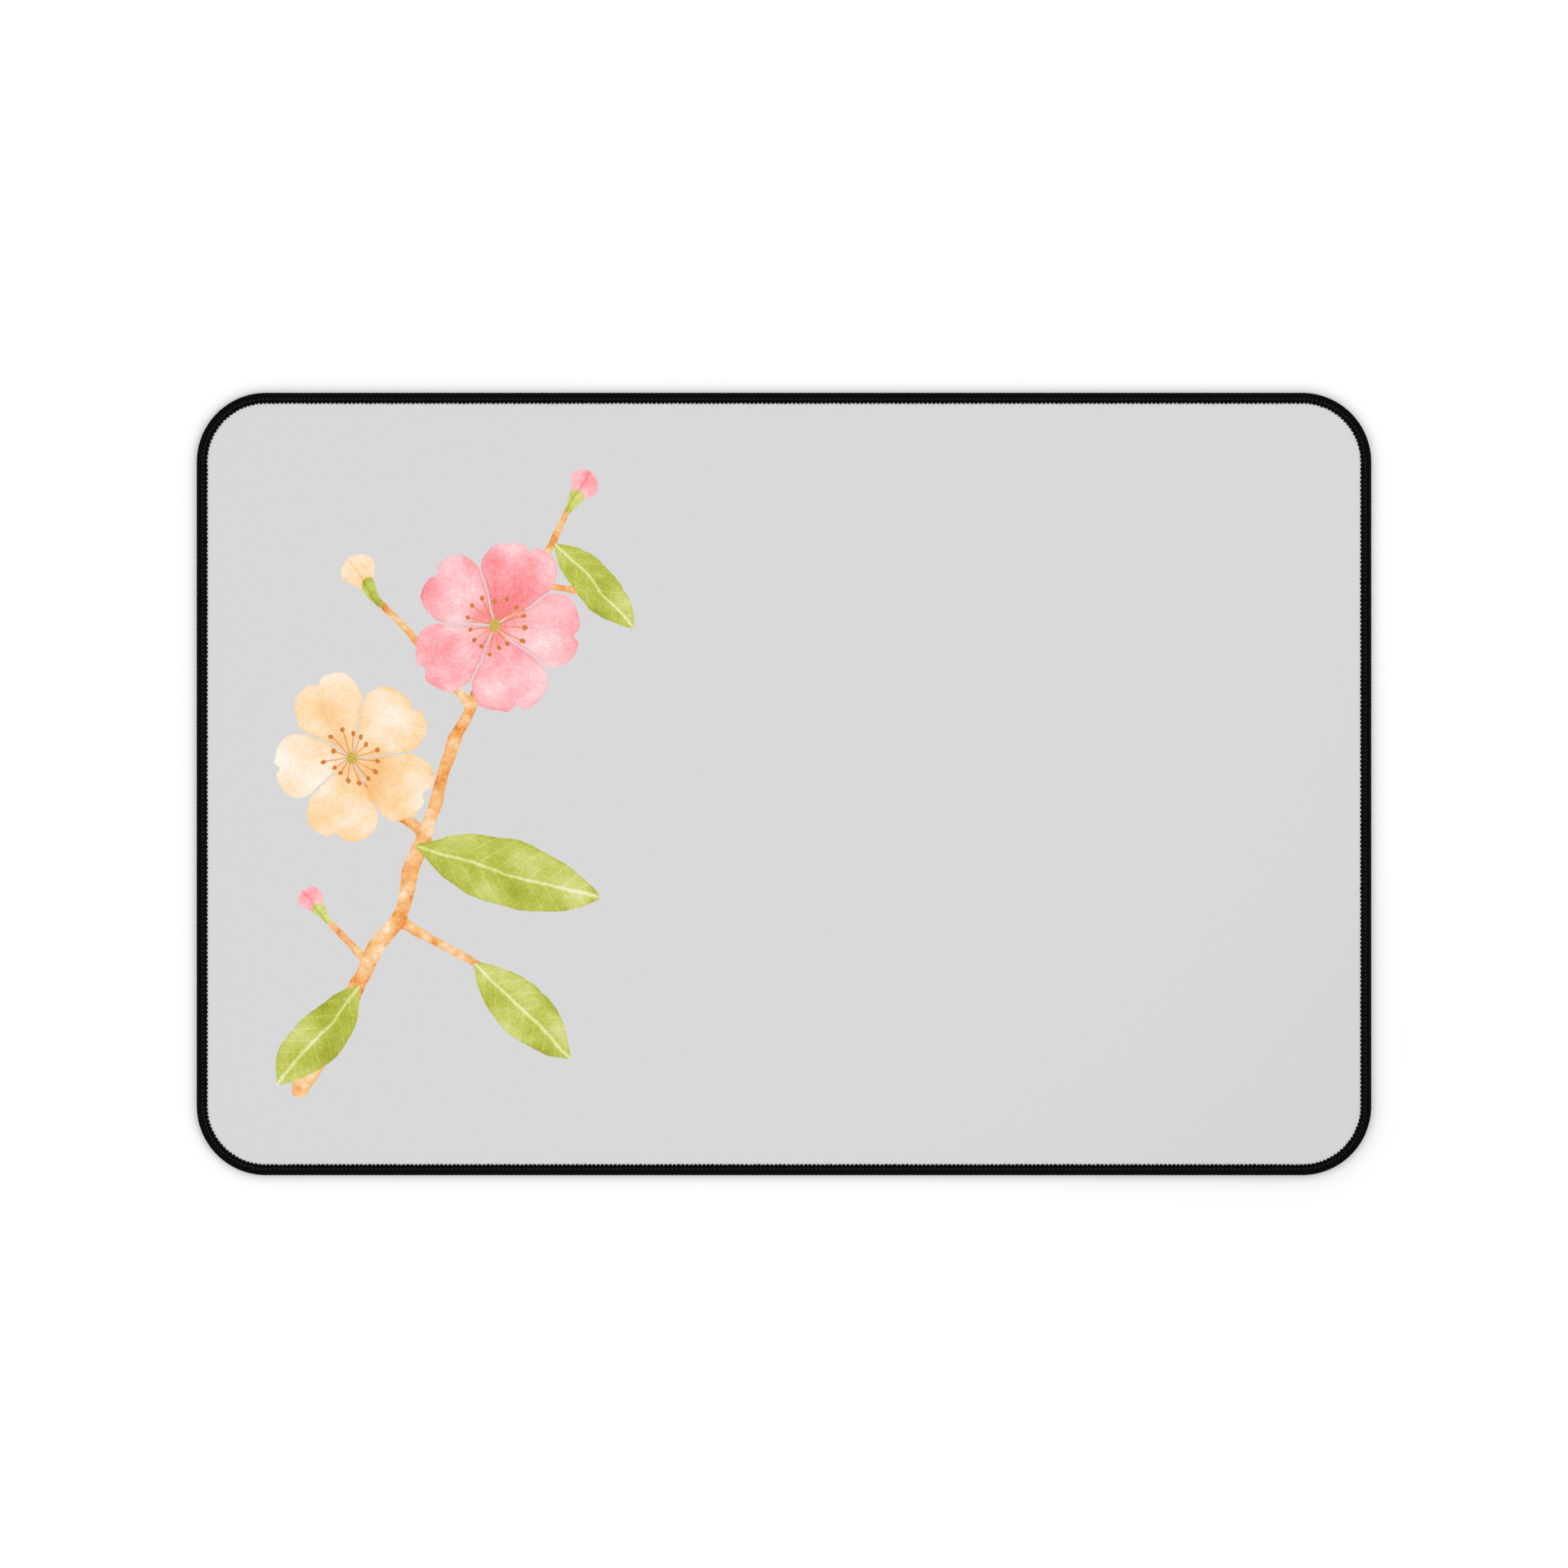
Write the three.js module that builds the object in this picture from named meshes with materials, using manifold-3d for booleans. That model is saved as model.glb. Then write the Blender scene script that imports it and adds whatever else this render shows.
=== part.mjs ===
// A desk mat with a sewn rim: a printed cloth face bonded to a foam rubber base, with round corners,
// and an overlocked seam of black thread that wraps the whole edge.
//
// Units are millimetres and +Z is up. The mat lies on z = 0 and is centred on the origin, with its
// long side along X.
//
// Two coordinates describe the seam's section: "inset", the distance in from the outer rim, and z.
import * as THREE from "three";
import Module from "manifold-3d";

// Driving dimensions of the mat.
const MAT_LENGTH = 457.6; // a little over 18 inches, along X
const MAT_WIDTH = 304.8; // 12 inches, along Y
const CORNER_RADIUS = 27;
const MAT_THICKNESS = 3;
const CLOTH_THICKNESS = 0.4;

// The seam. The slab is squeezed thin where the thread wraps it.
const SEAM_WIDTH = 4.3; // from the rim to the inner tips of the loops
const THREAD_THICKNESS = 0.6; // one layer of looper thread, above or below the squeezed slab
const SEAM_HEIGHT = 3.35; // over both layers of looper thread
const RIM_ROUNDING = 0.5; // radius of the seam's outer edge, above and below an upright rim
const RIM_WALL = 0.9; // thread at the outermost point, where the two loopers interlock
const TIP_THICKNESS = 0.3; // thread at the inner tips of the loops
const STEP_HEIGHT = 3.1; // top of the upper loops from the outer needle row inwards

// The two rows of needle stitches, each a bead that runs round on the upper looper.
const NEEDLE_ROWS = {
  needle_thread_outer: { inset: 2.5, width: 0.9, floor: STEP_HEIGHT, top: 3.45 },
  needle_thread_inner: { inset: 3.2, width: 0.4, floor: 2.9, top: STEP_HEIGHT },
};

const CLEARANCE = 0.05; // between the thread and the layers that it wraps
const CORNER_STEPS = 12; // facets in each quarter circle
const SECTION_STEPS = 5; // facets in each rounding of the seam's section

// Heights that follow from the driving dimensions.
const MIDDLE = SEAM_HEIGHT / 2; // where the upper and lower looper threads interlock
const SQUEEZED_BOTTOM = THREAD_THICKNESS;
const SQUEEZED_TOP = SEAM_HEIGHT - THREAD_THICKNESS;
const RUBBER_TOP = MAT_THICKNESS - CLOTH_THICKNESS;
const FIELD_INSET = SEAM_WIDTH + CLEARANCE; // where the cloth has its full height
const EDGE_INSET = RIM_WALL + CLEARANCE; // where the squeezed layers end, inside the thread
const CLOTH_HEM = 0.2; // cloth that turns down over the step of the rubber

const wasm = await Module();
wasm.setup();

// Half the angle of one facet. The straight sides lie on the facets that cross the X and Y axes, so
// a corner's points start half a facet past each axis, on a circle that the facets touch.
const HALF_FACET = Math.PI / 4 / CORNER_STEPS;
const circumscribed = (radius) => radius / Math.cos(HALF_FACET);

// Moves a point of a circle about the origin out to the corner of the mat that it belongs to.
function pullToCorner(x, y) {
  const out = (value, side) => value + Math.sign(value) * (side / 2 - CORNER_RADIUS);
  return [out(x, MAT_LENGTH), out(y, MAT_WIDTH)];
}

// The mat's outline at an inset, as a shape: a rounded rectangle of straight facets.
function outline(inset) {
  const radius = circumscribed(CORNER_RADIUS - inset);
  const points = [];
  for (let i = 0; i < 4 * CORNER_STEPS; i++) {
    const angle = (2 * i + 1) * HALF_FACET;
    points.push(new THREE.Vector2(...pullToCorner(radius * Math.cos(angle), radius * Math.sin(angle))));
  }
  return new THREE.Shape(points);
}

// A plate between two heights, whose edge follows the outline, with a hole if holeInset is given.
function plate(inset, low, high, holeInset) {
  const shape = outline(inset);
  if (holeInset) shape.holes.push(new THREE.Path(outline(holeInset).getPoints().reverse()));
  const geometry = new THREE.ExtrudeGeometry(shape, { depth: high - low, bevelEnabled: false });
  return geometry.translate(0, 0, low);
}

// A closed section, with x as its inset and y as its height, carried round the outline. The section
// is first turned into a round ring, and the ring's quarters are then pulled apart to the corners.
function ring(section) {
  const closed = section.getPoints(SECTION_STEPS).map(
    (p) => new THREE.Vector2(circumscribed(CORNER_RADIUS - p.x), p.y),
  );
  closed.push(closed[0].clone());
  const geometry = new THREE.LatheGeometry(closed, 4 * CORNER_STEPS, HALF_FACET);
  geometry.rotateX(Math.PI / 2);
  const position = geometry.getAttribute("position");
  for (let i = 0; i < position.count; i++) {
    position.setXY(i, ...pullToCorner(position.getX(i), position.getY(i)));
  }
  return geometry;
}

// Two closed geometries joined into one.
function joined(a, b) {
  const solid = solidOf(a).add(solidOf(b));
  const mesh = solid.getMesh();
  const geometry = new THREE.BufferGeometry();
  geometry.setAttribute("position", new THREE.BufferAttribute(mesh.vertProperties, 3));
  geometry.setIndex(new THREE.BufferAttribute(mesh.triVerts, 1));
  return geometry;
}

// A geometry as a manifold solid. Vertices that share a place become one.
function solidOf(geometry) {
  const flat = geometry.index ? geometry.toNonIndexed() : geometry;
  const place = flat.getAttribute("position");
  const seen = new Map();
  const vertices = [];
  const triangles = new Uint32Array(place.count);
  for (let i = 0; i < place.count; i++) {
    const point = [place.getX(i), place.getY(i), place.getZ(i)];
    const key = point.map((value) => value.toFixed(4)).join();
    if (!seen.has(key)) {
      seen.set(key, vertices.length / 3);
      vertices.push(...point);
    }
    triangles[i] = seen.get(key);
  }
  const vertProperties = new Float32Array(vertices);
  return new wasm.Manifold(new wasm.Mesh({ numProp: 3, vertProperties, triVerts: triangles }));
}

// The foam rubber: full height inside the seam, squeezed thin where the thread wraps it.
function rubberBase() {
  const field = plate(FIELD_INSET + CLOTH_HEM, 0, RUBBER_TOP);
  const margin = plate(EDGE_INSET, SQUEEZED_BOTTOM, SQUEEZED_TOP - CLOTH_THICKNESS);
  return joined(field, margin);
}

// The cloth: flat over the field, then down over the rubber's step and out under the thread.
function clothFace() {
  const field = plate(FIELD_INSET, RUBBER_TOP, MAT_THICKNESS);
  const margin = plate(
    EDGE_INSET,
    SQUEEZED_TOP - CLOTH_THICKNESS,
    SQUEEZED_TOP,
    FIELD_INSET + CLOTH_HEM,
  );
  return joined(field, margin);
}

// Half of the seam's section, over the slab: a rounded rim, the top, and the tip of the loops. The
// outer needle row lies on the step in the top, and the inner one in a groove as wide as its bead.
function upperLooperSection() {
  const section = new THREE.Shape();
  section.moveTo(0, MIDDLE);
  section.absarc(RIM_ROUNDING, SEAM_HEIGHT - RIM_ROUNDING, RIM_ROUNDING, Math.PI, Math.PI / 2, true);
  const { needle_thread_outer: outer, needle_thread_inner: inner } = NEEDLE_ROWS;
  section.lineTo(outer.inset - outer.width / 2, SEAM_HEIGHT);
  section.lineTo(outer.inset - outer.width / 2, STEP_HEIGHT);
  section.lineTo(inner.inset - inner.width / 2, STEP_HEIGHT);
  section.lineTo(inner.inset - inner.width / 2, inner.floor);
  section.lineTo(inner.inset + inner.width / 2, inner.floor);
  section.lineTo(inner.inset + inner.width / 2, STEP_HEIGHT);
  section.lineTo(SEAM_WIDTH, SQUEEZED_TOP + TIP_THICKNESS);
  section.lineTo(SEAM_WIDTH, SQUEEZED_TOP);
  section.lineTo(RIM_WALL, SQUEEZED_TOP);
  section.lineTo(RIM_WALL, MIDDLE);
  return section;
}

// The other half, under the slab, with no needle rows: its flat bottom lies on the desk.
function lowerLooperSection() {
  const section = new THREE.Shape();
  section.moveTo(0, MIDDLE);
  section.lineTo(RIM_WALL, MIDDLE);
  section.lineTo(RIM_WALL, SQUEEZED_BOTTOM);
  section.lineTo(SEAM_WIDTH, SQUEEZED_BOTTOM);
  section.lineTo(SEAM_WIDTH, SQUEEZED_BOTTOM - TIP_THICKNESS);
  section.lineTo(SEAM_WIDTH - TIP_THICKNESS, 0);
  section.lineTo(RIM_ROUNDING, 0);
  section.absarc(RIM_ROUNDING, RIM_ROUNDING, RIM_ROUNDING, -Math.PI / 2, -Math.PI, true);
  return section;
}

// A needle thread's bead: flat where it lies on the loops, and rounded on top.
function needleSection({ inset, width, floor, top }) {
  const section = new THREE.Shape();
  const shoulder = (floor + top) / 2;
  section.moveTo(inset + width / 2, floor);
  section.lineTo(inset - width / 2, floor);
  section.absellipse(inset, shoulder, width / 2, top - shoulder, Math.PI, 0, true);
  return section;
}

const mat = new THREE.Group();

function addPiece(name, geometry, color, roughness) {
  const material = new THREE.MeshStandardMaterial({ color, roughness, metalness: 0 });
  const piece = new THREE.Mesh(geometry, material);
  piece.name = name;
  mat.add(piece);
}

addPiece("rubber_base", rubberBase(), 0x1c1c1c, 0.9);
addPiece("cloth_face", clothFace(), 0xd9d9d9, 0.85);
addPiece("upper_looper_thread", ring(upperLooperSection()), 0x0f0f0f, 0.8);
addPiece("lower_looper_thread", ring(lowerLooperSection()), 0x0f0f0f, 0.8);
for (const [name, row] of Object.entries(NEEDLE_ROWS)) {
  addPiece(name, ring(needleSection(row)), 0x2b2b2b, 0.6);
}

export default mat;
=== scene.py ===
# %% [markdown]
# # A desk mat with a sewn rim
#
# The mat is a thin slab of foam rubber with a printed cloth face. An overlocker has run round its
# edge: two looper threads wrap the rim, one over it and one under it, and two needle threads hold
# them down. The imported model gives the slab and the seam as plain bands. This file turns the bands
# into thread, gives the slab its soft shoulders, and paints the cloth.
#
# Everything is in metres. X runs along the mat's long side, Y away from the user and Z up.

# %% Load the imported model
import math

import bpy
import numpy as np
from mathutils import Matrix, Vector


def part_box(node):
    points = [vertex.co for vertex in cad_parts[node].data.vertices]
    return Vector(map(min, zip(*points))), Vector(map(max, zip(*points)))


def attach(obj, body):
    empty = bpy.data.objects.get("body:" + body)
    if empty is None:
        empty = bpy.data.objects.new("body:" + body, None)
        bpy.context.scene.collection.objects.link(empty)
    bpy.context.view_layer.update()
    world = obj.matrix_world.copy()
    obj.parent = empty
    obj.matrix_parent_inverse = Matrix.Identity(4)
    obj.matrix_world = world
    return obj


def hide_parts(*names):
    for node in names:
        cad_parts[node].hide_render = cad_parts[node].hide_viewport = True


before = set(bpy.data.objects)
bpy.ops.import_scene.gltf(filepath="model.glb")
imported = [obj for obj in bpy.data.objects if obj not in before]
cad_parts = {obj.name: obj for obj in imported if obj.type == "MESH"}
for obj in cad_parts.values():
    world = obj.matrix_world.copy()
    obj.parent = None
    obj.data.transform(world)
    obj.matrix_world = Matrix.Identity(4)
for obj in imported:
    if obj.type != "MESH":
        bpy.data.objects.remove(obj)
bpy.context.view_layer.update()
print("nodes:", sorted(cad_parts))

# %% [markdown]
# ## Sizes
#
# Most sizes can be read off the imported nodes, so they can't drift from them. What a box doesn't
# tell, such as the corner's radius and the length of a stitch, is named here once. The height of
# the seam splits into three layers: thread, the squeezed slab, and thread again.

# %% Sizes of the slab and the seam
MM = 0.001
CORNER_RADIUS = 27 * MM
SEAM_WIDTH = 4.3 * MM  # from the rim to the inner tips of the loops
STITCH = 1.65 * MM  # along the outer needle row
OUTER_ROW = 2.5 * MM  # inset of the outer row of needle stitches
INNER_ROW = 3.2 * MM

seam_low, seam_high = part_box("upper_looper_thread")
cloth_low, cloth_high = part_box("cloth_face")
rubber_low, rubber_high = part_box("rubber_base")

HALF_LENGTH = seam_high.x
HALF_WIDTH = seam_high.y
SEAM_TOP = seam_high.z
INTERLOCK = seam_low.z  # the height at which the upper and lower loops hook into each other
FIELD_TOP = cloth_high.z
CLOTH_THICKNESS = cloth_high.z - rubber_high.z
SQUEEZED_TOP = cloth_low.z + CLOTH_THICKNESS
THREAD_THICKNESS = SEAM_TOP - SQUEEZED_TOP  # one layer, over or under the squeezed slab
SLAB_INSET = HALF_LENGTH - cloth_high.x  # where the cloth and the rubber end, inside the thread

squeezed_slab = SQUEEZED_TOP - THREAD_THICKNESS
print(f"mat {2 * HALF_LENGTH / MM:.1f} x {2 * HALF_WIDTH / MM:.1f} mm")
print(f"seam {SEAM_TOP / MM:.2f} mm high")
print(f"slab {FIELD_TOP / MM:.2f} mm thick, squeezed to {squeezed_slab / MM:.2f} mm")

# %% [markdown]
# ## The line that everything follows
#
# The seam runs round a rectangle with round corners. A handy way to describe such a line is by two
# things that are each simple: a point on the small rectangle through the corners' centres, and the
# direction that points outwards from it. Along a side the point moves and the direction stands
# still. Round a corner it is the other way about. Any line parallel to the rim is then the point
# plus a distance along the direction, and stitches that are even along the needle row fan out to
# the rim by themselves, as sewn ones do.

# %% The seam line
CORE_X = HALF_LENGTH - CORNER_RADIUS
CORE_Y = HALF_WIDTH - CORNER_RADIUS
QUARTER = math.pi / 2 * (CORNER_RADIUS - OUTER_ROW)
BREAKS = np.cumsum([0] + [2 * CORE_X, QUARTER, 2 * CORE_Y, QUARTER] * 2)
SEAM_LENGTH = BREAKS[-1]
STITCHES = round(SEAM_LENGTH / STITCH)


def core_and_outward(along):
    """The core rectangle's point and the outward direction at a distance along the outer row.

    Both are straight-line interpolations between the ends of the eight stretches. The row starts
    at the left end of the front side and runs anticlockwise.
    """
    along = np.mod(along, SEAM_LENGTH)
    x = np.interp(along, BREAKS, CORE_X * np.array([-1, 1, 1, 1, 1, -1, -1, -1, -1]))
    y = np.interp(along, BREAKS, CORE_Y * np.array([-1, -1, -1, 1, 1, 1, 1, -1, -1]))
    angle = np.interp(along, BREAKS, math.pi / 2 * np.array([-1, -1, 0, 0, 1, 1, 2, 2, 3]))
    core = np.stack([x, y, 0 * x], axis=-1)
    outward = np.stack([np.cos(angle), np.sin(angle), 0 * x], axis=-1)
    return core, outward


def seam_point(along, inset, height):
    """Core point + (corner radius - inset) x outward direction, raised to the height."""
    core, outward = core_and_outward(along)
    point = core + (CORNER_RADIUS - inset)[..., None] * outward
    point[..., 2] = height
    return point


print(f"the outer needle row is {SEAM_LENGTH / MM:.0f} mm round and has {STITCHES} stitches")

# %% [markdown]
# ## Meshes from arrays
#
# Each piece is worked out as whole numpy arrays, and foreach_set copies those into a mesh in one
# go. That is much faster than adding vertices one by one, and the formulas stay readable.


# %% Put arrays into a mesh
def make_piece(name, points, quads, uv=None):
    """A smooth mesh object from an array of points, an array of quads, and a UV for each corner."""
    mesh = bpy.data.meshes.new(name)
    mesh.vertices.add(len(points))
    mesh.vertices.foreach_set("co", points.astype(np.float32).ravel())
    mesh.loops.add(quads.size)
    mesh.loops.foreach_set("vertex_index", quads.astype(np.int32).ravel())
    mesh.polygons.add(len(quads))
    mesh.polygons.foreach_set("loop_start", np.arange(0, quads.size, 4, dtype=np.int32))
    mesh.polygons.foreach_set("use_smooth", np.ones(len(quads), bool))
    if uv is not None:
        layer = mesh.uv_layers.new(name="thread")
        layer.data.foreach_set("uv", uv.astype(np.float32).ravel())
    mesh.update(calc_edges=True)
    piece = bpy.data.objects.new(name, mesh)
    bpy.context.scene.collection.objects.link(piece)
    print(f"{name}: {len(points)} vertices, {len(quads)} quads")
    return piece


# %% [markdown]
# ## The slab: two sheets
#
# The cloth and the rubber are flat over the field and sink towards the seam, where the thread has
# squeezed the foam. A surface like that is easiest in two parts that share an edge: a grid for the
# field, whose rows are as wide as the rounded outline is at their height, and rings round it that
# follow a profile of inset and height out to the edge under the thread.

# %% A sheet that follows a profile
FIELD_COLUMNS = 72
FIELD_ROWS = 40
CORNER_STEPS = 14


def sheet_arrays(profile):
    """Points, quads and the outer ring of a sheet that faces up.

    The profile is an array of (inset, height), from the field out to the edge. The field is the
    surface x = u * half width(v), y = y(v) at the first height. Ring k is the outline at inset k,
    raised to height k.
    """
    steps = [FIELD_COLUMNS, CORNER_STEPS, FIELD_ROWS, CORNER_STEPS] * 2
    spans = zip(BREAKS[:-1], BREAKS[1:], steps)
    along = np.concatenate([np.linspace(a, b, n, endpoint=False) for a, b, n in spans])
    rings = seam_point(along[None, :], profile[:, :1], profile[:, 1:])

    right = rings[0, FIELD_COLUMNS:FIELD_COLUMNS + FIELD_ROWS + 2 * CORNER_STEPS + 1]
    field = np.empty((len(right), FIELD_COLUMNS + 1, 3))
    field[..., 0] = right[:, :1] * np.linspace(-1, 1, FIELD_COLUMNS + 1)
    field[..., 1] = right[:, 1:2]
    field[..., 2] = profile[0, 1]

    grid = np.arange(field[..., 0].size).reshape(len(right), -1)
    border = np.concatenate([grid[0, :-1], grid[:-1, -1], grid[-1, :0:-1], grid[:0:-1, 0]])
    outer = grid.size + np.arange(rings[1:, :, 0].size).reshape(len(profile) - 1, -1)
    ring = np.concatenate([border[None, :], outer])
    after = np.roll(ring, -1, axis=1)
    field_quads = np.stack([grid[:-1, :-1], grid[:-1, 1:], grid[1:, 1:], grid[1:, :-1]], -1)
    ring_quads = np.stack([ring[:-1], ring[1:], after[1:], after[:-1]], -1)

    points = np.concatenate([field.reshape(-1, 3), rings[1:].reshape(-1, 3)])
    quads = np.concatenate([field_quads.reshape(-1, 4), ring_quads.reshape(-1, 4)])
    return points, quads, ring[-1]


SHOULDER_STEPS = 8
SHOULDER_UNDER_TIPS = 0.3 * MM  # how far the shoulder goes on under the tips of the loops
FLAT_MARGIN = 4 * MM  # one flat ring before the shoulder


def slab_profile(field_height, squeezed_height, shoulder_start):
    """(inset, height) from the field, down a half cosine wave to the seam, and flat to the edge."""
    shoulder_end = SEAM_WIDTH - SHOULDER_UNDER_TIPS
    share = np.linspace(0, 1, SHOULDER_STEPS)
    inset = shoulder_start + (shoulder_end - shoulder_start) * share
    height = field_height + (squeezed_height - field_height) * (1 - np.cos(math.pi * share)) / 2
    inset = np.concatenate([[shoulder_start + FLAT_MARGIN], inset, [OUTER_ROW, SLAB_INSET]])
    height = np.concatenate([[field_height], height, [squeezed_height] * 2])
    return np.stack([inset, height], -1)


# %% [markdown]
# The cloth is one sheet, about 0.4 mm thick. A Solidify modifier gives it that thickness
# downwards, so that its printed side stays where the profile puts it.

# %% The printed cloth
CLOTH_SHOULDER = 5.3 * MM  # inset at which the cloth starts to sink towards the seam
cloth_profile = slab_profile(FIELD_TOP, SQUEEZED_TOP, CLOTH_SHOULDER)
cloth_points, cloth_quads, _ = sheet_arrays(cloth_profile)
cloth = make_piece("printed_cloth", cloth_points, cloth_quads)
thickness = cloth.modifiers.new("cloth thickness", "SOLIDIFY")
thickness.thickness = CLOTH_THICKNESS
thickness.offset = -1

# %% [markdown]
# The foam rubber lies against the cloth and has its own underside, which rises to the lower
# looper thread. It is a top sheet and a bottom sheet with the same columns, turned to face away
# from each other and joined round the edge by one strip of quads.

# %% The foam rubber
RUBBER_SHOULDER = 6.5 * MM  # inset at which the underside starts to rise
GLUE = 0.02 * MM  # a gap for the glue, so that the two sheets never cross
low_profile = slab_profile(0.0, THREAD_THICKNESS, RUBBER_SHOULDER)
top_points, top_quads, top_edge = sheet_arrays(cloth_profile - [0, CLOTH_THICKNESS + GLUE])
low_points, low_quads, low_edge = sheet_arrays(low_profile)
low_quads = low_quads + len(top_points)
low_edge = low_edge + len(top_points)
edge_quads = np.stack([top_edge, low_edge, np.roll(low_edge, -1), np.roll(top_edge, -1)], -1)
rubber = make_piece(
    "foam_rubber",
    np.concatenate([top_points, low_points]),
    np.concatenate([top_quads, low_quads[:, ::-1], edge_quads]),
)

# %% [markdown]
# ## Thread
#
# Every thread is a tube that closes on itself after one turn round the mat. A thread under tension
# isn't round: it spreads over what it lies on. So a tube here has two half sizes at each ring, one
# across and one up. Six sides are enough for the looper threads, which have sixteen thousand rings
# each. With a flat at each side and a ridge on top, neighbouring threads press together without a
# gap. The needle threads have fewer rings and more light on them, so they get ten sides.

# %% A tube of thread
def direction(centre):
    """The way a closed path runs at each of its points: from the point before to the one after."""
    step = np.roll(centre, -1, axis=0) - np.roll(centre, 1, axis=0)
    return step / np.linalg.norm(step, axis=1)[:, None]


def thread(name, centre, side, half_side, half_lift, sides):
    """A closed tube. Ring k is centre + side * half_side * cos(a) + lift * half_lift * sin(a).

    lift is at right angles to the path and to side. The angles start half a step round, which puts
    a flat at each side, and half_side is measured to the flat. The UV map runs along the thread in
    millimetres and once round it, with its top at a quarter.
    """
    forward = direction(centre)
    side = side - (side * forward).sum(1)[:, None] * forward
    side /= np.linalg.norm(side, axis=1)[:, None]
    lift = np.cross(forward, side)
    angle = 2 * math.pi * (np.arange(sides) + 0.5) / sides
    across = (half_side / math.cos(math.pi / sides))[:, None, None] * side[:, None, :]
    up = half_lift[:, None, None] * lift[:, None, :]
    rings = centre[:, None, :] + across * np.cos(angle)[:, None] + up * np.sin(angle)[:, None]

    count = len(centre)
    ring = np.arange(count * sides).reshape(count, sides)
    after = np.roll(ring, -1, axis=0)
    quads = np.stack([ring, np.roll(ring, -1, 1), np.roll(after, -1, 1), after], -1)

    gaps = np.linalg.norm(np.roll(centre, -1, axis=0) - centre, axis=1) / MM
    end = np.cumsum(gaps)
    start = end - gaps
    turn = angle / (2 * math.pi)
    u = np.stack([start, start, end, end], -1)[:, None, :].repeat(sides, 1)
    v = np.stack([turn, turn + 1 / sides, turn + 1 / sides, turn], -1)[None].repeat(count, 0)
    uv = np.stack([u, v], -1)
    return make_piece(name, rings.reshape(-1, 3), quads.reshape(-1, 4), uv)


# %% [markdown]
# ## Looper threads
#
# An overlocker lays its looper thread in loops: in over the edge to the needle rows, round, and
# out again. One stitch is two legs, a turn at the inner tips and a turn at the rim. All stitches
# follow one profile of inset and height, so a stitch is a short template: which row of the profile
# each point takes, and how far along the stitch it lies. The template is copied round the seam
# with a little unevenness from a seeded generator.

# %% The path of a looper thread
rng = np.random.default_rng(41)

# Row 0 of a profile is the turn at the rim and rows 1 to 7 the leg. From row 7 on, the path goes
# round a half circle a quarter of a stitch in radius, with row 8 halfway up it and row 9 on top.
LAST_ROW = 9
ROW = np.array([1, 2, 3, 4, 5, 6, 7, 8, 9, 8, 7, 6, 5, 4, 3, 2, 1, 0])
PLACE = np.array([0.25] * 7 + [0.32, 0.5, 0.68] + [0.75] * 7 + [1.0])
LEG_SHARE = np.array([0.8, 1, 1, 1, 1, 1, 1, 1, 0.9, 0.9])  # of a leg's full width, for each row
LEG_OVERLAP = 1.11  # a leg's width over the space that it has, so that the legs press together
LEAN = 0.10  # how far a leg leans forward on its way in, in stitches

# The unevenness of hand and machine, each as a standard deviation.
UNEVEN_PLACE = 0.012  # stitches along the seam
UNEVEN_REACH = 0.05 * MM  # of the tips
UNEVEN_HEIGHT = 0.01 * MM
UNEVEN_WIDTH = 0.02  # of the space that a leg has
print(f"one stitch of looper thread has {len(ROW)} points")


def looper(name, profile, up):
    """A looper thread from a profile of (inset, rise, half thickness), in millimetres.

    Point j of stitch i takes row ROW[j] of the profile. It lies i + PLACE[j] + lean stitches along
    the seam, and its height is interlock + up * rise, where up is 1 above the slab and -1 below
    it. Its side is the profile's normal crossed with the path's direction. Two legs share a stitch,
    so a leg's half width is a quarter of the stitch's length there, which grows towards the rim in
    a corner. The lower loops are half a stitch further along, so that they come up between the
    upper ones.
    """
    profile = MM * np.array(profile)
    uneven = rng.normal(0, 1, (4, STITCHES, 2)).repeat(len(ROW) // 2, axis=2)
    place = PLACE + LEAN * (ROW / LAST_ROW - 1) + (1 - up) / 4 + UNEVEN_PLACE * uneven[0]
    along = ((np.arange(STITCHES)[:, None] + place) * SEAM_LENGTH / STITCHES).ravel()
    inset = (profile[ROW, 0] + UNEVEN_REACH * uneven[1] * (ROW / LAST_ROW) ** 3).ravel()
    hump = np.sin(math.pi * ROW / LAST_ROW)
    rise = (profile[ROW, 1] + UNEVEN_HEIGHT * uneven[2] * hump).ravel()
    height = INTERLOCK + up * rise
    centre = seam_point(along, inset, height)

    slope = np.gradient(profile[:, :2], axis=0)
    slope /= np.linalg.norm(slope, axis=1)[:, None]
    _, outward = core_and_outward(along)
    normal = np.tile(slope[ROW, 1], STITCHES)[:, None] * outward
    normal[:, 2] = up * np.tile(slope[ROW, 0], STITCHES)
    side = np.cross(normal, direction(centre))

    reach = np.full_like(along, STITCH / 2)
    ahead = seam_point(along + reach, inset, height) - seam_point(along - reach, inset, height)
    overlap = LEG_OVERLAP + UNEVEN_WIDTH * uneven[3].ravel()
    half_side = np.linalg.norm(ahead, axis=1) / 4 * overlap
    half_side *= np.tile(LEG_SHARE[ROW], STITCHES)
    half_lift = np.tile(profile[ROW, 2], STITCHES)
    return thread(name, centre, side, half_side, half_lift, sides=6)


# %% [markdown]
# The upper looper's leg climbs the upright rim, turns over a round shoulder, runs along the top,
# and is pulled down under each row of needle stitches. The lower looper's leg goes the same way
# below, where the desk keeps it flat. At the rim the upper loops hang in front, and the lower ones
# come up behind them. That hooked edge is what keeps the cloth from fraying.

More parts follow.
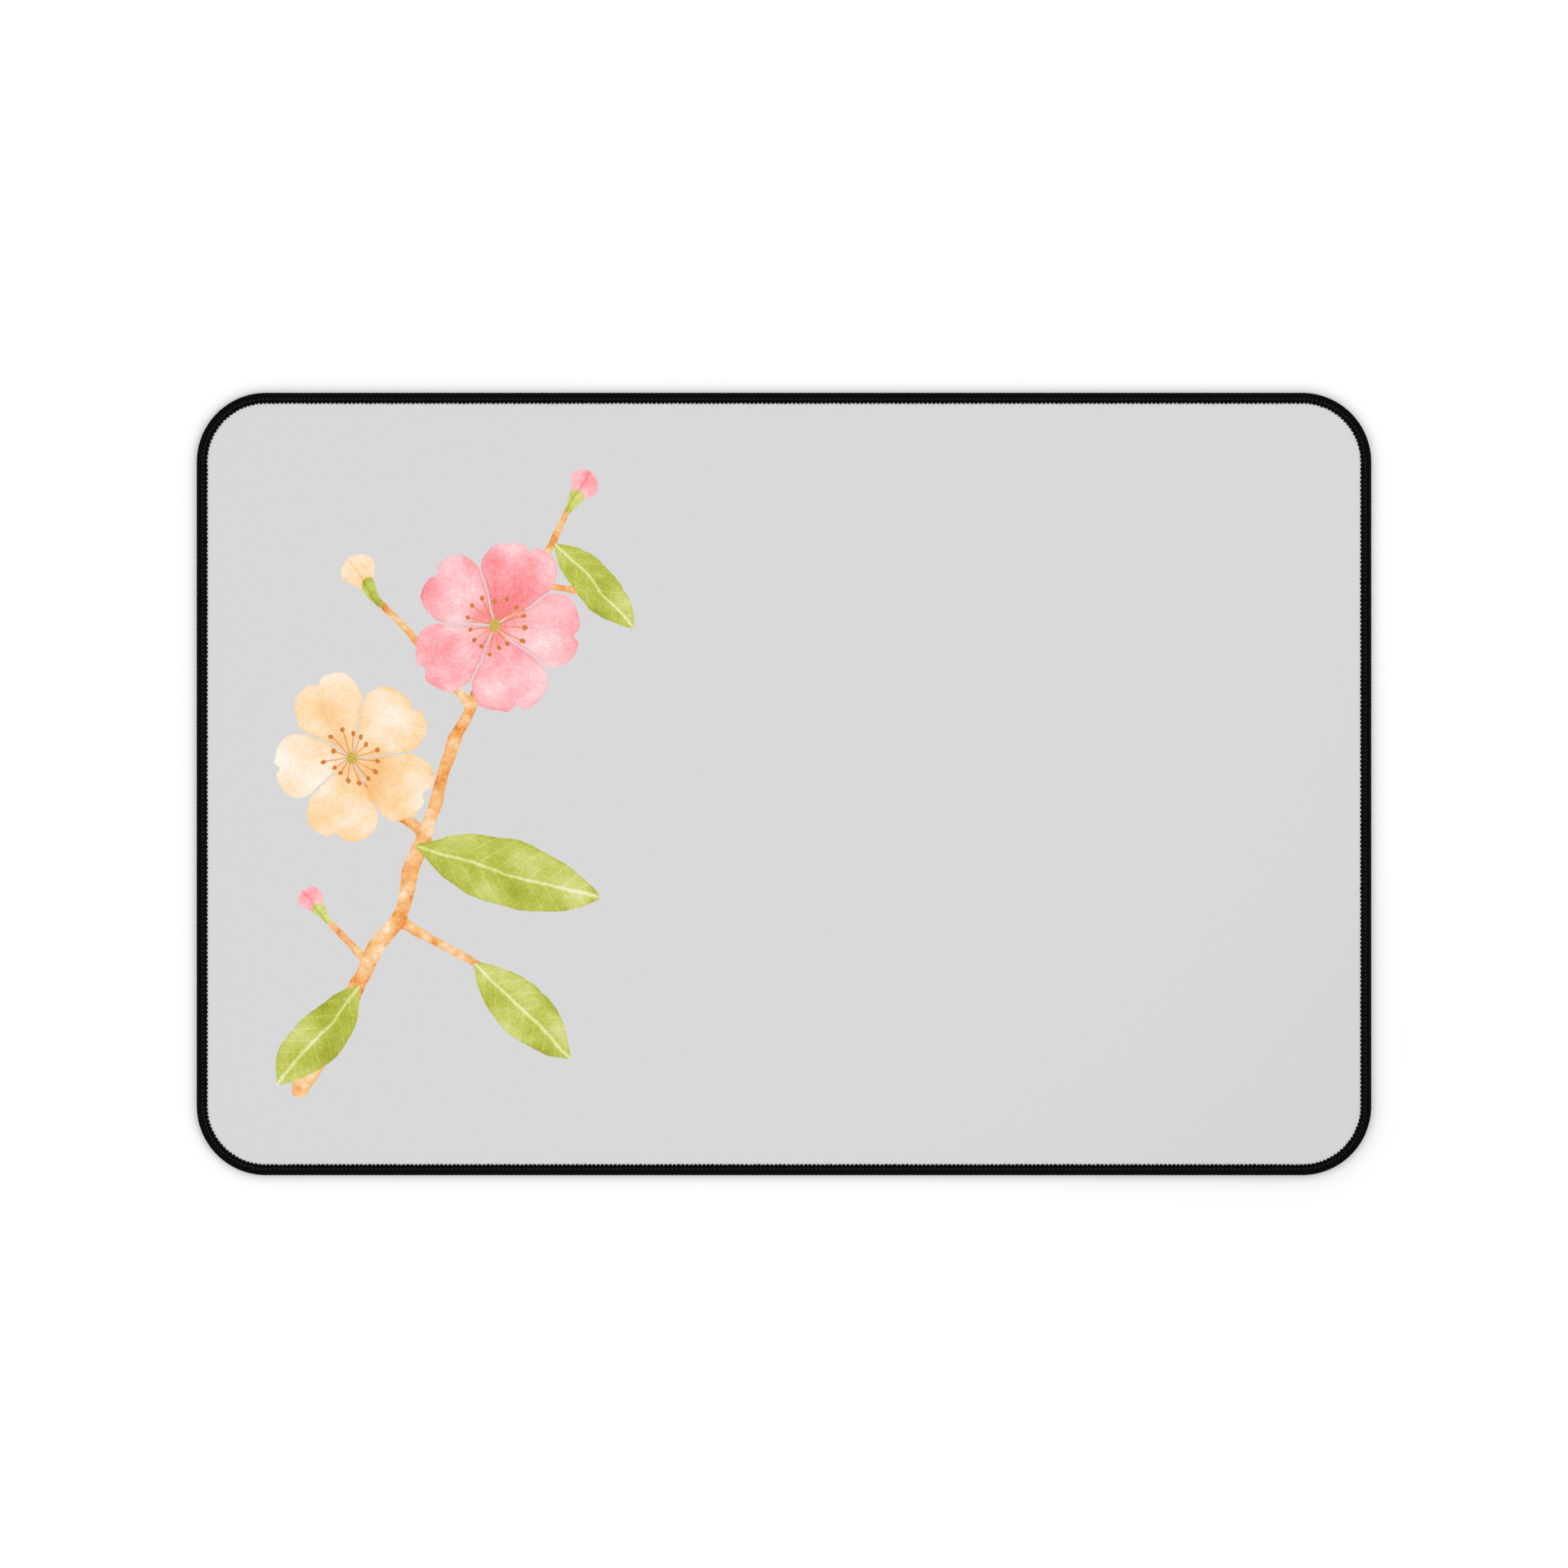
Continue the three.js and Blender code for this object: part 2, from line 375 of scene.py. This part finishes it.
# %% Upper and lower looper threads
UPPER_LOOPS = [
    (0.17, -0.26, 0.20),  # the turn at the rim
    (0.17, 0.10, 0.20),
    (0.18, 1.08, 0.20),
    (0.50, 1.41, 0.23),  # the shoulder
    (1.95, 1.41, 0.26),
    (2.55, 1.19, 0.22),  # under the outer needle stitches
    (3.20, 1.10, 0.17),  # under the inner ones
    (3.56, 1.20, 0.17),
    (3.85, 1.21, 0.17),
    (3.98, 1.21, 0.16),  # the turn at the tips
]
LOWER_LOOPS = [
    (0.50, -0.28, 0.20),
    (0.42, 0.10, 0.20),
    (0.20, 0.90, 0.20),
    (0.50, 1.36, 0.23),
    (1.90, 1.37, 0.26),
    (2.55, 1.38, 0.24),
    (3.20, 1.38, 0.20),
    (3.56, 1.39, 0.18),
    (3.85, 1.40, 0.18),
    (3.98, 1.40, 0.18),
]
upper = looper("upper_looper_loops", UPPER_LOOPS, up=1)
lower = looper("lower_looper_loops", LOWER_LOOPS, up=-1)

# %% [markdown]
# ## Needle threads
#
# A needle thread shows as one dash for each stitch, a low arch across the gap between two upper
# loops. Between two dashes it dives into the loop's tip, through the mat, catches the lower loops,
# and comes back up through the same hole. Its path stays in an upright plane that follows the seam,
# so its side is the inward direction everywhere.

# %% The path of a needle thread
# Place along the stitch, share of the height, and share of the full width, for each point.
DASH = np.array([
    [-0.35, 0.86, 0.60],
    [-0.27, 0.955, 0.85],
    [-0.14, 0.99, 1.00],
    [0.00, 1.00, 1.00],
    [0.14, 0.99, 1.00],
    [0.27, 0.955, 0.85],
    [0.35, 0.86, 0.60],
    [0.45, 0.00, 0.45],
    [0.55, 0.00, 0.45],
])
NEEDLE_BOTTOM = 0.2 * MM  # where the needle threads catch the lower loops
UNEVEN_ROW = 0.04 * MM  # how far a stitch strays to the side
UNEVEN_DASH = 0.05  # of a dash's width


def needle_row(name, inset, half_width, top, half_thickness):
    """A needle thread: dashes with their surface at the top height, and dives to the bottom."""
    uneven = rng.normal(0, 1, (3, STITCHES, 1))
    along = (np.arange(STITCHES)[:, None] + DASH[:, 0]) * SEAM_LENGTH / STITCHES
    height = NEEDLE_BOTTOM + (top - half_thickness - NEEDLE_BOTTOM) * DASH[:, 1]
    height = height + UNEVEN_HEIGHT * uneven[0]
    inset = inset + UNEVEN_ROW * uneven[1] + 0 * height
    centre = seam_point(along.ravel(), inset.ravel(), height.ravel())
    _, outward = core_and_outward(along.ravel())
    half_side = (half_width * DASH[:, 2] * (1 + UNEVEN_DASH * uneven[2])).ravel()
    half_lift = np.tile(half_thickness * (0.4 + 0.6 * DASH[:, 2]), STITCHES)
    return thread(name, centre, -outward, half_side, half_lift, sides=10)


outer_row = needle_row(
    "outer_needle_stitches", OUTER_ROW, half_width=0.5 * MM,
    top=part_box("needle_thread_outer")[1].z, half_thickness=0.2 * MM,
)
inner_row = needle_row(
    "inner_needle_stitches", INNER_ROW, half_width=0.2 * MM,
    top=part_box("needle_thread_inner")[1].z, half_thickness=0.13 * MM,
)

# %% [markdown]
# ## Shader maths
#
# A material's maths reads best as maths. The class below wraps a socket, so that an expression
# such as 1 - mask * 0.5 adds its own Math nodes. Every other node comes from one method, which
# takes the node's type, its settings, and what goes into its sockets.


# %% Values and materials
class Value:
    """A number, vector or colour that varies over a surface. Operators are for numbers."""

    def __init__(self, finish, socket):
        self.finish = finish
        self.socket = socket

    def math(self, operation, *others):
        inputs = dict(enumerate([self, *others]))
        return self.finish.node("Math", {"operation": operation}, inputs)

    def __add__(self, other):
        return self.math("ADD", other)

    def __sub__(self, other):
        return self.math("SUBTRACT", other)

    def __mul__(self, other):
        return self.math("MULTIPLY", other)

    def __truediv__(self, other):
        return self.math("DIVIDE", other)

    def __pow__(self, other):
        return self.math("POWER", other)

    def __rsub__(self, other):
        return self.math("MULTIPLY_ADD", -1.0, other)

    __radd__ = __add__
    __rmul__ = __mul__


class Finish:
    """A material with a Principled shader, while its nodes are being added."""

    def __init__(self, name, roughness, specular):
        self.material = bpy.data.materials.new(name)
        self.material.use_nodes = True
        self.tree = self.material.node_tree
        self.shader = self.tree.nodes["Principled BSDF"]
        self.shader.inputs["Roughness"].default_value = roughness
        self.shader.inputs["Specular IOR Level"].default_value = specular

    def node(self, kind, settings, inputs, output=0):
        """Adds a node, sets its settings, then feeds its sockets, and returns one output.

        A new colour ramp has two stops, so the stops between the first and the last are added.
        """
        made = self.tree.nodes.new("ShaderNode" + kind)
        for name, value in settings.items():
            if name == "stops":
                for position, colour in value[1:-1]:
                    made.color_ramp.elements.new(position)
                for element, (position, colour) in zip(made.color_ramp.elements, value):
                    element.position = position
                    element.color = colour
            else:
                setattr(made, name, value)
        for name, value in inputs.items():
            if isinstance(value, Value):
                self.tree.links.new(value.socket, made.inputs[name])
            else:
                made.inputs[name].default_value = value
        return Value(self, made.outputs[output])

    def millimetres(self):
        """The place on the object, in millimetres."""
        place = self.node("TexCoord", {}, {}, output=3)
        return self.node("VectorMath", {"operation": "SCALE"}, {0: place, "Scale": 1 / MM})

    def drive(self, **values):
        """Links values to the shader's sockets. An underscore stands for a space in their names."""
        for name, value in values.items():
            self.tree.links.new(value.socket, self.shader.inputs[name.replace("_", " ")])

    def bump(self, height, depth):
        """A normal from a height map, where a height of 1 stands depth metres proud."""
        return self.node("Bump", {}, {"Height": height, "Distance": depth, "Strength": 1.0})


def parts(vector):
    """The x, y and z of a vector."""
    made = vector.finish.node("SeparateXYZ", {}, {0: vector})
    return [Value(vector.finish, output) for output in made.socket.node.outputs]


def over(below, colour, mask):
    """A colour laid over another one where the mask is 1. Sockets 6 and 7 take the colours."""
    inputs = {0: mask, 6: below, 7: colour}
    return mask.finish.node("Mix", {"data_type": "RGBA"}, inputs, output=2)


def smooth(value, low, high):
    """0 at low, 1 at high, and an S-shaped curve between them. Low may be above high."""
    settings = {"interpolation_type": "SMOOTHSTEP"}
    return value.finish.node("MapRange", settings, {0: value, 1: low, 2: high, 3: 0.0, 4: 1.0})


def length(x, y):
    """The distance of a point from the origin."""
    return (x * x + y * y).math("SQRT")


print("shader tools ready")

# %% [markdown]
# ## Light and colour
#
# The room is one even white dome with a weak spot lamp on the right. A surface's colour on screen
# is its own colour times the light that falls on it, so colours are written down as they are seen
# and divided by that light. Screen colours are sRGB and the shader's are linear, which the second
# half of the function takes care of.

# %% Colours as they are seen
LIGHT = 1.1  # how bright a perfectly white surface comes out, facing up in the middle


def seen(code):
    """The linear colour of a hex code, as a surface needs it to look so under the light."""
    channels = np.array([int(code[i:i + 2], 16) for i in (0, 2, 4)]) / 255
    linear = np.where(channels < 0.04045, channels / 12.92, ((channels + 0.055) / 1.055) ** 2.4)
    return [*(linear / LIGHT), 1.0]


print("a light grey of d9d9d9 needs a surface of", np.round(seen("d9d9d9")[0], 3))

# %% [markdown]
# ## Thread and rubber
#
# The looper thread is a fluffy black yarn that swallows light. The needle thread is harder, is
# twisted from two plies and catches a little of it. Both patterns follow the thread through its UV
# map: fibres are noise stretched along it, and plies are a slanted wave, which also darkens the
# colour in the grooves between the plies as painted shade. The sine of the turn round the thread is
# 1 along its top, so painted shade darkens the thread's sides, the line where two threads press
# together.


# %% Black threads
PLY_PITCH = 0.6  # mm of thread from one ply to the next


def thread_finish(name, dark, light, roughness, specular, fibre_depth, ply_depth):
    """Dyed thread: fibres along it and, where ply_depth is above 0, two plies twisted together.

    Its colour also holds painted shade, darker down its sides and between its plies.
    """
    finish = Finish(name, roughness, specular)
    along, turn, _ = parts(finish.node("UVMap", {"uv_map": "thread"}, {}))
    # Painted shade: the colour is lighter along the thread's top and darker down its sides, where
    # threads press together.
    painted_crown_shade = smooth((turn * (2 * math.pi)).math("SINE"), 0.4, 0.9)
    stretched = finish.node("CombineXYZ", {}, {0: along * 0.8, 1: turn * 9.0})
    fibres = finish.node("TexNoise", {}, {"Vector": stretched, "Scale": 2.0, "Detail": 3.0})
    shade = smooth(fibres, 0.38, 0.68)
    relief = fibres * fibre_depth
    if ply_depth:
        twist = ((along * (1 / PLY_PITCH) + turn * 2.0) * (2 * math.pi)).math("SINE") * 0.5 + 0.5
        relief = relief + twist * ply_depth
        # The plies also go into the colour: painted shade in the grooves between them.
        shade = shade * 0.3 + twist * 0.7
    colour = over(seen(dark), seen(light), shade * painted_crown_shade)
    finish.drive(Base_Color=colour, Normal=finish.bump(relief, 1.0))
    return finish.material


looper_black = thread_finish(
    "looper yarn, black", "030303", "171717", roughness=0.9, specular=0.03,
    fibre_depth=0.05 * MM, ply_depth=0.0,
)
needle_black = thread_finish(
    "needle thread, black", "090909", "232323", roughness=0.5, specular=0.06,
    fibre_depth=0.02 * MM, ply_depth=0.05 * MM,
)
# Painted shade: the inner row is a darker copy of the needle thread, standing in for the shade of
# its groove.
needle_black_painted_shade = thread_finish(
    "needle thread, black, in painted groove shade", "010101", "050505", roughness=0.7, specular=0.02,
    fibre_depth=0.02 * MM, ply_depth=0.03 * MM,
)
for piece in (upper, lower):
    piece.data.materials.append(looper_black)
outer_row.data.materials.append(needle_black)
inner_row.data.materials.append(needle_black_painted_shade)
print("threads finished")

# %% [markdown]
# The rubber's underside is moulded into a fine grid of low studs that grips the desk, and the
# foam's pores show in it as a faint speckle. A product of two waves makes the studs. Even light from
# all sides hides such a low relief, so the grooves between the studs are painted darker as well:
# painted shade.

# %% Foam rubber
STUD_PITCH = 1.8  # mm from one stud to the next along X

foam = Finish("foam rubber, black", roughness=0.75, specular=0.3)
foam_mm = foam.millimetres()
foam_x, foam_y, _ = (coordinate * (math.pi / STUD_PITCH) for coordinate in parts(foam_mm))
studs = ((foam_x + foam_y).math("SINE") * (foam_x - foam_y).math("SINE")).math("ABSOLUTE")
pores = foam.node("TexNoise", {}, {"Vector": foam_mm, "Scale": 3.0, "Detail": 2.0})
# The pores are a random speckle; the darker grooves between the studs are painted shade.
foam_pores_and_painted_groove_shade = smooth(pores, 0.35, 0.7) * 0.45 + smooth(studs, 0.02, 0.4) * 0.55
foam.drive(
    Base_Color=over(seen("151515"), seen("2b2b2b"), foam_pores_and_painted_groove_shade),
    Normal=foam.bump(studs + pores * 0.2, 0.12 * MM),
)
rubber.data.materials.append(foam.material)
print("rubber finished")

# %% [markdown]
# ## The cloth and its print
#
# The cloth is a light grey polyester weave. Its design is dyed in with heat, so it has no gloss and
# no edge that a finger could feel: it is colour alone. The design is a blossom twig in watercolour.
# It could be an image, but shapes worked out from distances stay sharp at any size. Each shape
# starts as the distance from its outline, in millimetres and negative inside, and is then filled
# with a wash of colour that is paler in places and grainy, as pigment on rough paper is.

# %% Paper: a place on the cloth that wanders a little
paper = Finish("cloth, light grey with a print", roughness=0.85, specular=0.12)
cloth_mm = paper.millimetres()


def noise(size, detail, colour=False):
    """Cloudy noise from 0 to 1 with lumps of about this many millimetres."""
    inputs = {"Vector": cloth_mm, "Scale": 1 / size, "Detail": detail}
    return paper.node("TexNoise", {}, inputs, output=1 if colour else 0)


def wander(place, size, amount):
    """The place, pushed about by noise, so that a straight line looks drawn by hand."""
    even = noise(size, 1.0, colour=True)
    push = paper.node("VectorMath", {"operation": "SUBTRACT"}, {0: even, 1: [0.5] * 3})
    inputs = {0: push, 1: [amount, amount, 0], 2: place}
    return paper.node("VectorMath", {"operation": "MULTIPLY_ADD"}, inputs)


drawn_x, drawn_y, _ = parts(wander(wander(cloth_mm, 26.0, 7.0), 4.0, 0.9))
clouds = noise(17.0, 3.0)
streaks = noise(6.0, 4.0)
grain = noise(0.9, 2.0)
print("paper ready")

# %% [markdown]
# A brush stroke is a line segment with a half width that tapers. A leaf is where two circles
# overlap, which gives its two points by itself. Both need the place as seen along the shape's own
# axis, so that comes first.


# %% Brush shapes
PAINT_EDGE = 0.25  # mm inside and outside an outline over which its pigment fades


def along_axis(start, end):
    """Millimetres along a line from its start, and to its left, for each place on the cloth."""
    run = np.subtract(end, start) / math.dist(start, end)
    east = drawn_x - start[0]
    north = drawn_y - start[1]
    return east * run[0] + north * run[1], north * run[0] - east * run[1]


def stroke(start, end, half_start, half_end):
    """The distance to the nearest point of the segment, less the half width there."""
    reach = math.dist(start, end)
    along, across = along_axis(start, end)
    nearest = along.math("MAXIMUM", 0.0).math("MINIMUM", reach)
    half_width = nearest * ((half_end - half_start) / reach) + half_start
    return length(along - nearest, across) - half_width


def leaf(start, end, half_width):
    """Two circles through both points: length(along - half length, |across| + offset) - radius.

    Returns that outline, the place along the leaf, and the distance to the side of its midrib.
    """
    half_length = math.dist(start, end) / 2
    radius = (half_length**2 + half_width**2) / (2 * half_width)
    along, across = along_axis(start, end)
    side = across.math("ABSOLUTE")
    outline = length(along - half_length, side + (radius - half_width)) - radius
    return outline, along, side


def joined(shapes, softness=2.0):
    """One outline round several shapes, with the inner corners rounded."""
    outline = shapes[0]
    for shape in shapes[1:]:
        outline = outline.math("SMOOTH_MIN", shape, softness)
    return outline


def wash(below, outline, tone, stops):
    """Fills an outline with pigment, pale where tone is 0 and deep where it is 1."""
    pigment = paper.node("ValToRGB", {"stops": [(at, seen(code)) for at, code in stops]}, {0: tone})
    return over(below, pigment, smooth(outline, PAINT_EDGE, -PAINT_EDGE))


def rim_of(outline, width):
    """1 at the outline and 0 at that depth inside it, where the wet pigment has run to the edge."""
    return smooth(outline, -width, 0.2)


# %% [markdown]
# ### The twig
#
# The twig is drawn first, as everything else lies over it. It is a chain of strokes that gets
# thinner towards its tip, with short side twigs to carry the leaves and the buds.

# %% The twig
FORK = (-151, -52)
BEND = (-128, 18)
twig = joined([
    stroke((-189, -119), FORK, 3.4, 2.9),
    stroke(FORK, BEND, 2.9, 2.4),
    stroke(BEND, (-84, 108), 2.4, 1.4),
    stroke(FORK, (-120, -70), 2.0, 1.3),
    stroke((-162, -70), (-179, -52), 1.8, 1.2),
    stroke((-140, -20), (-176, 8), 2.0, 1.4),
    stroke((-122, 31), (-160, 74), 1.9, 1.2),
    stroke((-99, 78), (-80, 74), 1.6, 1.0),
])
WOOD = [(0.0, "ffe9cf"), (0.35, "fbc78a"), (0.7, "f0a055"), (1.0, "d9702c")]
wood_tone = (streaks - 0.5) * 2.0 + (grain - 0.5) * 0.5 + rim_of(twig, 1.6) * 0.15 + 0.42
print_colour = wash(seen("d9d9d9"), twig, wood_tone, WOOD)
print("twig painted")

# %% [markdown]
# ### Leaves
#
# The leaves are olive to lime. They get deeper away from the middle, and the midrib and the side
# veins are left pale, as a brush leaves them.

# %% Leaves
LEAVES = [
    ((-144, -24), (-72, -44), 13.0),
    ((-122, -69), (-84, -106), 10.0),
    ((-166, -80), (-198, -118), 9.0),
    ((-90, 94), (-58, 62), 8.0),
]
LIME = [(0.0, "f0f2c8"), (0.3, "dde08e"), (0.65, "bfc655"), (1.0, "9ca22b")]
VEIN_PITCH = 6.5  # mm from one side vein to the next

for start, end, half_width in LEAVES:
    outline, along, side = leaf(start, end, half_width)
    away = smooth(side, -0.8, 0.8)
    midrib = smooth(side, 0.9, 0.2)
    slanted = (along - side * 0.9) * (2 * math.pi / VEIN_PITCH)
    veins = smooth(slanted.math("COSINE"), 0.9, 1.0)
    tone = (clouds - 0.5) * 1.5 + (grain - 0.5) * 0.45 + away * 0.22 + 0.42
    tone = tone - midrib * 0.35 - veins * 0.14 + rim_of(outline, 1.5) * 0.1
    print_colour = wash(print_colour, outline, tone, LIME)
print(len(LEAVES), "leaves painted")

# %% [markdown]
# ### Blossoms
#
# A blossom has five petals. Folding the angle into one fifth of a turn makes one petal stand for
# all five, and noise looked up by the petal's number makes each of them a little longer or deeper
# than the next. The stamens are folded in the same way, into more and narrower sectors.


# %% Petals and stamens
PETALS = 5
STAMENS = 15


def folded(angle, count):
    """The angle from the middle of its sector, and the sector's number."""
    sector = 2 * math.pi / count
    number = (angle / sector).math("ROUND")
    return angle - number * sector, number.math("WRAP", float(count), 0.0)


def blossom(below, centre, size, turn, stops, depth):
    """Five petals, radius <= size * (1 - 0.33 * (angle / 36 degrees)^4 - notch), and the stamens."""
    east = drawn_x - centre[0]
    north = drawn_y - centre[1]
    radius = length(east, north)
    angle = north.math("ARCTAN2", east) + turn
    lean, number = folded(angle, PETALS)
    chance = paper.node("TexWhiteNoise", {"noise_dimensions": "1D"}, {"W": number + turn})
    share = lean.math("ABSOLUTE") * (PETALS / math.pi)
    notch = smooth(share, 0.16, 0.0) * 0.07
    tip = (1.0 - share**4.0 * 0.33 - notch) * (chance * 0.08 + 0.96) * size
    gap = radius * (math.pi / PETALS - lean.math("ABSOLUTE")).math("SINE")
    outline = (radius - tip).math("MAXIMUM", 0.35 - gap)

    ribs = smooth((lean * 33.0).math("COSINE"), 0.4, 1.0) * smooth(radius, size * 0.8, size * 0.3)
    tone = (clouds - 0.5) * 1.7 + (grain - 0.5) * 0.5 + (chance - 0.5) * 0.3 + depth
    tone = tone + smooth(radius, size * 0.55, size * 0.12) * 0.3 + ribs * 0.08
    tone = tone + rim_of(outline, 1.8) * 0.12
    painted = wash(below, outline, tone, stops)

    lean, number = folded(angle, STAMENS)
    chance = paper.node("TexWhiteNoise", {"noise_dimensions": "1D"}, {"W": number + turn + 9.0})
    reach = chance * 4.0 + size * 0.26
    across = radius * lean
    filament = across.math("ABSOLUTE") - 0.22
    filament = filament.math("MAXIMUM", radius - reach)
    anther = length(across, radius - reach) - 0.95
    painted = wash(painted, filament, grain, [(0.0, "f0a060"), (1.0, "dc8440")])
    painted = wash(painted, anther, grain, [(0.0, "e59045"), (1.0, "c4692a")])
    return wash(painted, radius - 2.4, grain, [(0.0, "dfc264"), (1.0, "b9a63c")])


PINK = [(0.0, "fff4f3"), (0.3, "ffd3d6"), (0.65, "ffabb0"), (1.0, "fb8289")]
CREAM = [(0.0, "fffaf1"), (0.35, "ffecd3"), (0.7, "ffd9a6"), (1.0, "fac587")]
print_colour = blossom(print_colour, (-168, 10), 31.0, 0.5, CREAM, depth=0.45)
print_colour = blossom(print_colour, (-112, 62), 33.0, 0.1, PINK, depth=0.5)
print("blossoms painted")

# %% [markdown]
# ### Buds
#
# A bud is a stroke that swells towards its tip, in a short green cup where it joins its twig.

# %% Buds
BUDS = [
    ((-81, 112), (-78, 117), 2.6, 5.4, PINK),
    ((-162, 77), (-166, 83), 2.6, 6.6, CREAM),
    ((-181, -49), (-184, -45), 2.2, 5.0, PINK),
]
for start, end, half_start, half_end, stops in BUDS:
    outline = stroke(start, end, half_start, half_end)
    _, across = along_axis(start, end)
    fold = smooth((across - 0.8).math("ABSOLUTE"), 0.7, 0.1)
    tone = (streaks - 0.5) * 1.2 + (grain - 0.5) * 0.45 + 0.55 + fold * 0.25
    print_colour = wash(print_colour, outline, tone, stops)
    cup = stroke(np.subtract(start, np.subtract(end, start)), start, 1.4, half_start + 0.3)
    print_colour = wash(print_colour, cup, tone, LIME)
print(len(BUDS), "buds painted")

# %% [markdown]
# ### The weave
#
# Under the print, the cloth is a plain weave of fine yarn, about three threads to the millimetre.
# A product of two waves gives a thread that goes over and under by turns. It is far too fine to be
# modelled, and only shows up close or in raking light, so a bump is right for it. The colour is also
# darker in the pits between the yarns, which is painted shade.

# %% The weave
WEAVE_PITCH = 0.36  # mm from one yarn to the next
weave_x, weave_y, _ = (coordinate * (math.pi / WEAVE_PITCH) for coordinate in parts(cloth_mm))
weave = weave_x.math("SINE") * weave_y.math("SINE")
# Painted shade: the colour is darker in the pits between the yarns; the grain is a random tone.
painted_pit_shade = (1.0 - weave.math("ABSOLUTE")) ** 2.0
shade = 1.047 - painted_pit_shade * 0.11 - (grain - 0.5) * 0.05  # averages 1, so the colours stay as written
woven_print_and_pit_shade = paper.node("VectorMath", {"operation": "SCALE"}, {0: print_colour, "Scale": shade})
paper.drive(Base_Color=woven_print_and_pit_shade, Normal=paper.bump(weave * 0.5 + 0.5, 0.02 * MM))
cloth.data.materials.append(paper.material)
print("the cloth's material has", len(paper.tree.nodes), "nodes")

# %% [markdown]
# ## What each piece stands for
#
# Nothing on a mat moves against the rest, so every piece rides on the one body. Each takes the
# place of its plain solid, which stays behind for collision.

# %% Ride and replace
STANDS_FOR = [
    (rubber, "rubber_base", "rubber"),
    (cloth, "cloth_face", "cloth"),
    (upper, "upper_looper_thread", "looper_thread"),
    (lower, "lower_looper_thread", "looper_thread"),
    (outer_row, "needle_thread_outer", "needle_thread"),
    (inner_row, "needle_thread_inner", "needle_thread"),
]
for piece, node, slot in STANDS_FOR:
    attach(piece, "root")
    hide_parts(node)

# %% [markdown]
# ## Floor, light and camera
#
# The mat lies on a white floor under an even white dome, which gives the soft dark line that
# contact leaves round a thin thing and no other shadow. A weak spot lamp, high on the right, makes
# that line a little darker on the left. Its cone is aimed past the middle, so that the mat's lower
# right corner lies in the cone's soft edge. The camera looks straight down through a long lens
# from far above, so that it looks past the rim on all four sides and sees the dark line in full.

# %% Floor
FLOOR_HALF = 6.0
FLOOR_DROP = 0.02 * MM  # just clear of the thread that lies on it
floor_points = FLOOR_HALF * np.array([[-1, -1, 0], [1, -1, 0], [1, 1, 0], [-1, 1, 0]], float)
floor_points[:, 2] = -FLOOR_DROP
floor = make_piece("floor", floor_points, np.array([[0, 1, 2, 3]]))
floor_finish = Finish("floor, matt white", roughness=1.0, specular=0.0)
floor_finish.shader.inputs["Base Color"].default_value = (0.96, 0.96, 0.96, 1.0)
floor.data.materials.append(floor_finish.material)

# %% Light
LAMP_SHARE = 0.04  # how much of the light comes from the lamp
LAMP_PLACE = Vector((1.4, 0.0, 3.0))
LAMP_TARGET = Vector((-0.15, 0.15, 0.0))
FULL_LIGHT = math.radians(5.95)  # between the cone's axis and the start of its soft edge
NO_LIGHT = math.radians(7.35)
LAMP_RADIUS = 0.04
world = bpy.data.worlds.new("white dome")
world.use_nodes = True
world.node_tree.nodes["Background"].inputs["Color"].default_value = (1, 1, 1, 1)
world.node_tree.nodes["Background"].inputs["Strength"].default_value = LIGHT * (1 - LAMP_SHARE)
bpy.context.scene.world = world

# A lamp's watts spread over a whole sphere, 4 pi square metres at 1 m, and a white surface sends
# light back over a half sphere, which is the other pi. A slanting beam covers more floor.
lamp = bpy.data.lights.new("soft lamp", "SPOT")
lamp.energy = LAMP_SHARE * LIGHT * 4 * math.pi**2 * LAMP_PLACE.length**3 / LAMP_PLACE.z
lamp.spot_size = 2 * NO_LIGHT
lamp.spot_blend = (math.cos(FULL_LIGHT) - math.cos(NO_LIGHT)) / (1 - math.cos(NO_LIGHT))
lamp.shadow_soft_size = LAMP_RADIUS
lamp_object = bpy.data.objects.new("soft lamp", lamp)
lamp_object.location = LAMP_PLACE
lamp_object.rotation_euler = (LAMP_PLACE - LAMP_TARGET).to_track_quat("Z", "Y").to_euler()
bpy.context.scene.collection.objects.link(lamp_object)
print(f"lit by a dome and a lamp of {lamp.energy:.0f} W, {LAMP_PLACE.length:.2f} m away")

# %% Camera
CAMERA_DISTANCE = 6.788
camera = bpy.data.cameras.new("camera")
camera.lens = 400  # a long lens, in millimetres as the sensor is
camera.sensor_width = 36
camera_object = bpy.data.objects.new("camera", camera)
camera_object.location = (0, 0, INTERLOCK + CAMERA_DISTANCE)
bpy.context.scene.collection.objects.link(camera_object)
bpy.context.scene.camera = camera_object
bpy.context.scene.view_settings.view_transform = "Standard"
print(f"camera {CAMERA_DISTANCE:.2f} m above the seam, with a {camera.lens:.0f} mm lens")
